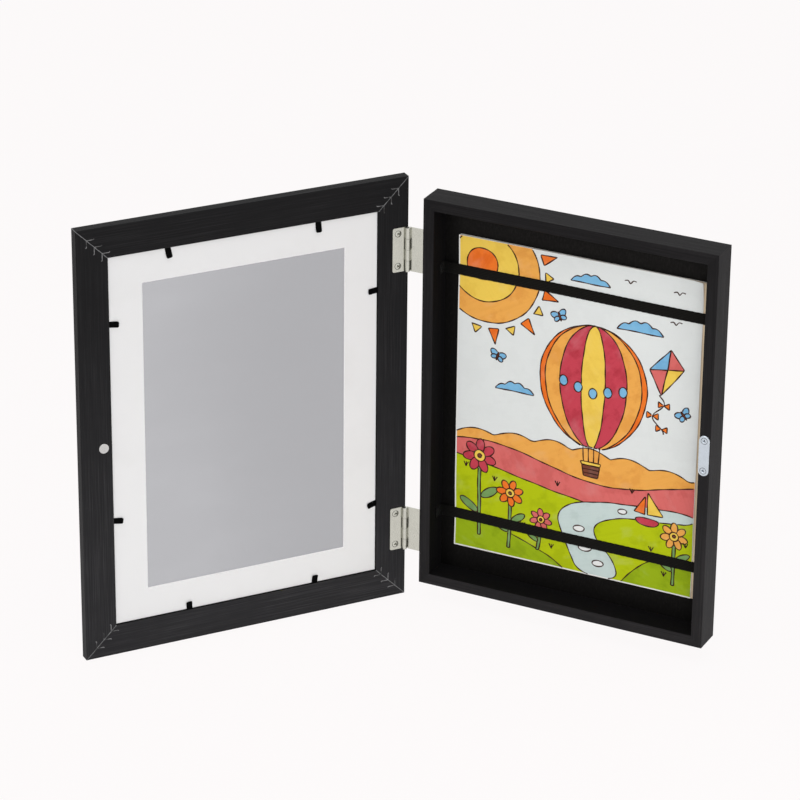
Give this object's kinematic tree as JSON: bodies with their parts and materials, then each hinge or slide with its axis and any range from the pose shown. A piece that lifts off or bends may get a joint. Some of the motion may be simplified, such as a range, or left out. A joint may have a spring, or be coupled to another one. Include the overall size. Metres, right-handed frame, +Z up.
{
  "type": "childrens art frame",
  "caption": "Front-opening shadow-box frame for children's drawings: hinged glazed door with mat, magnetic catch and a shallow storage case with elastic bands.",
  "frame": {"origin": "middle of the back panel's rear face, in the plane that goes against the wall", "axes": "+X across the case from the hinge side to the latch side, +Y from the front to the wall, +Z up"},
  "size_m": [0.4507, 0.2472, 0.374],
  "materials": {
    "door_wrap": "satin black wood-grain wrap",
    "case_wrap": "satin black wood-grain wrap",
    "panel_board": "matt black hardboard",
    "mat": "smooth white mat board",
    "pane": "clear",
    "drawing_paper": "drawing paper",
    "elastic": "woven elastic",
    "hinge_nickel": "nickel plated",
    "catch_steel": "zinc plated",
    "zinc_steel": "zinc plated",
    "magnet_nickel": "nickel plated",
    "black_steel": "blackened spring steel"
  },
  "bodies": {
    "case": {"case_top_rail": "case_wrap", "case_bottom_rail": "case_wrap", "case_hinge_rail": "case_wrap", "case_latch_rail": "case_wrap", "back_panel": "panel_board", "panel_staples": "zinc_steel", "case_v_nails": "zinc_steel", "upper_elastic_band": "elastic", "lower_elastic_band": "elastic", "elastic_staples": "zinc_steel", "art_sheet": "drawing_paper", "stored_sheets": "drawing_paper", "catch_plate": "catch_steel", "catch_plate_screws": "catch_steel", "upper_hinge_case_leaf": "hinge_nickel", "lower_hinge_case_leaf": "hinge_nickel", "case_leaf_screws": "hinge_nickel", "upper_hinge_pin": "hinge_nickel", "lower_hinge_pin": "hinge_nickel", "top_hanger": "zinc_steel", "side_hanger": "zinc_steel"},
    "door": {"door_top_rail": "door_wrap", "door_bottom_rail": "door_wrap", "door_hinge_rail": "door_wrap", "door_latch_rail": "door_wrap", "clear_pane": "pane", "mat_board": "mat", "flexi_points": "black_steel", "door_v_nails": "zinc_steel", "catch_magnet": "magnet_nickel", "upper_hinge_door_leaf": "hinge_nickel", "lower_hinge_door_leaf": "hinge_nickel", "door_leaf_screws": "hinge_nickel"}
  },
  "joints": [
    {"name": "door_hinge", "type": "hinge", "parent": "case", "child": "door", "pos_m": [-0.1409, -0.025, 0], "axis": [0, 0, -1], "range_deg": [-127.8, 52.2]}
  ]
}
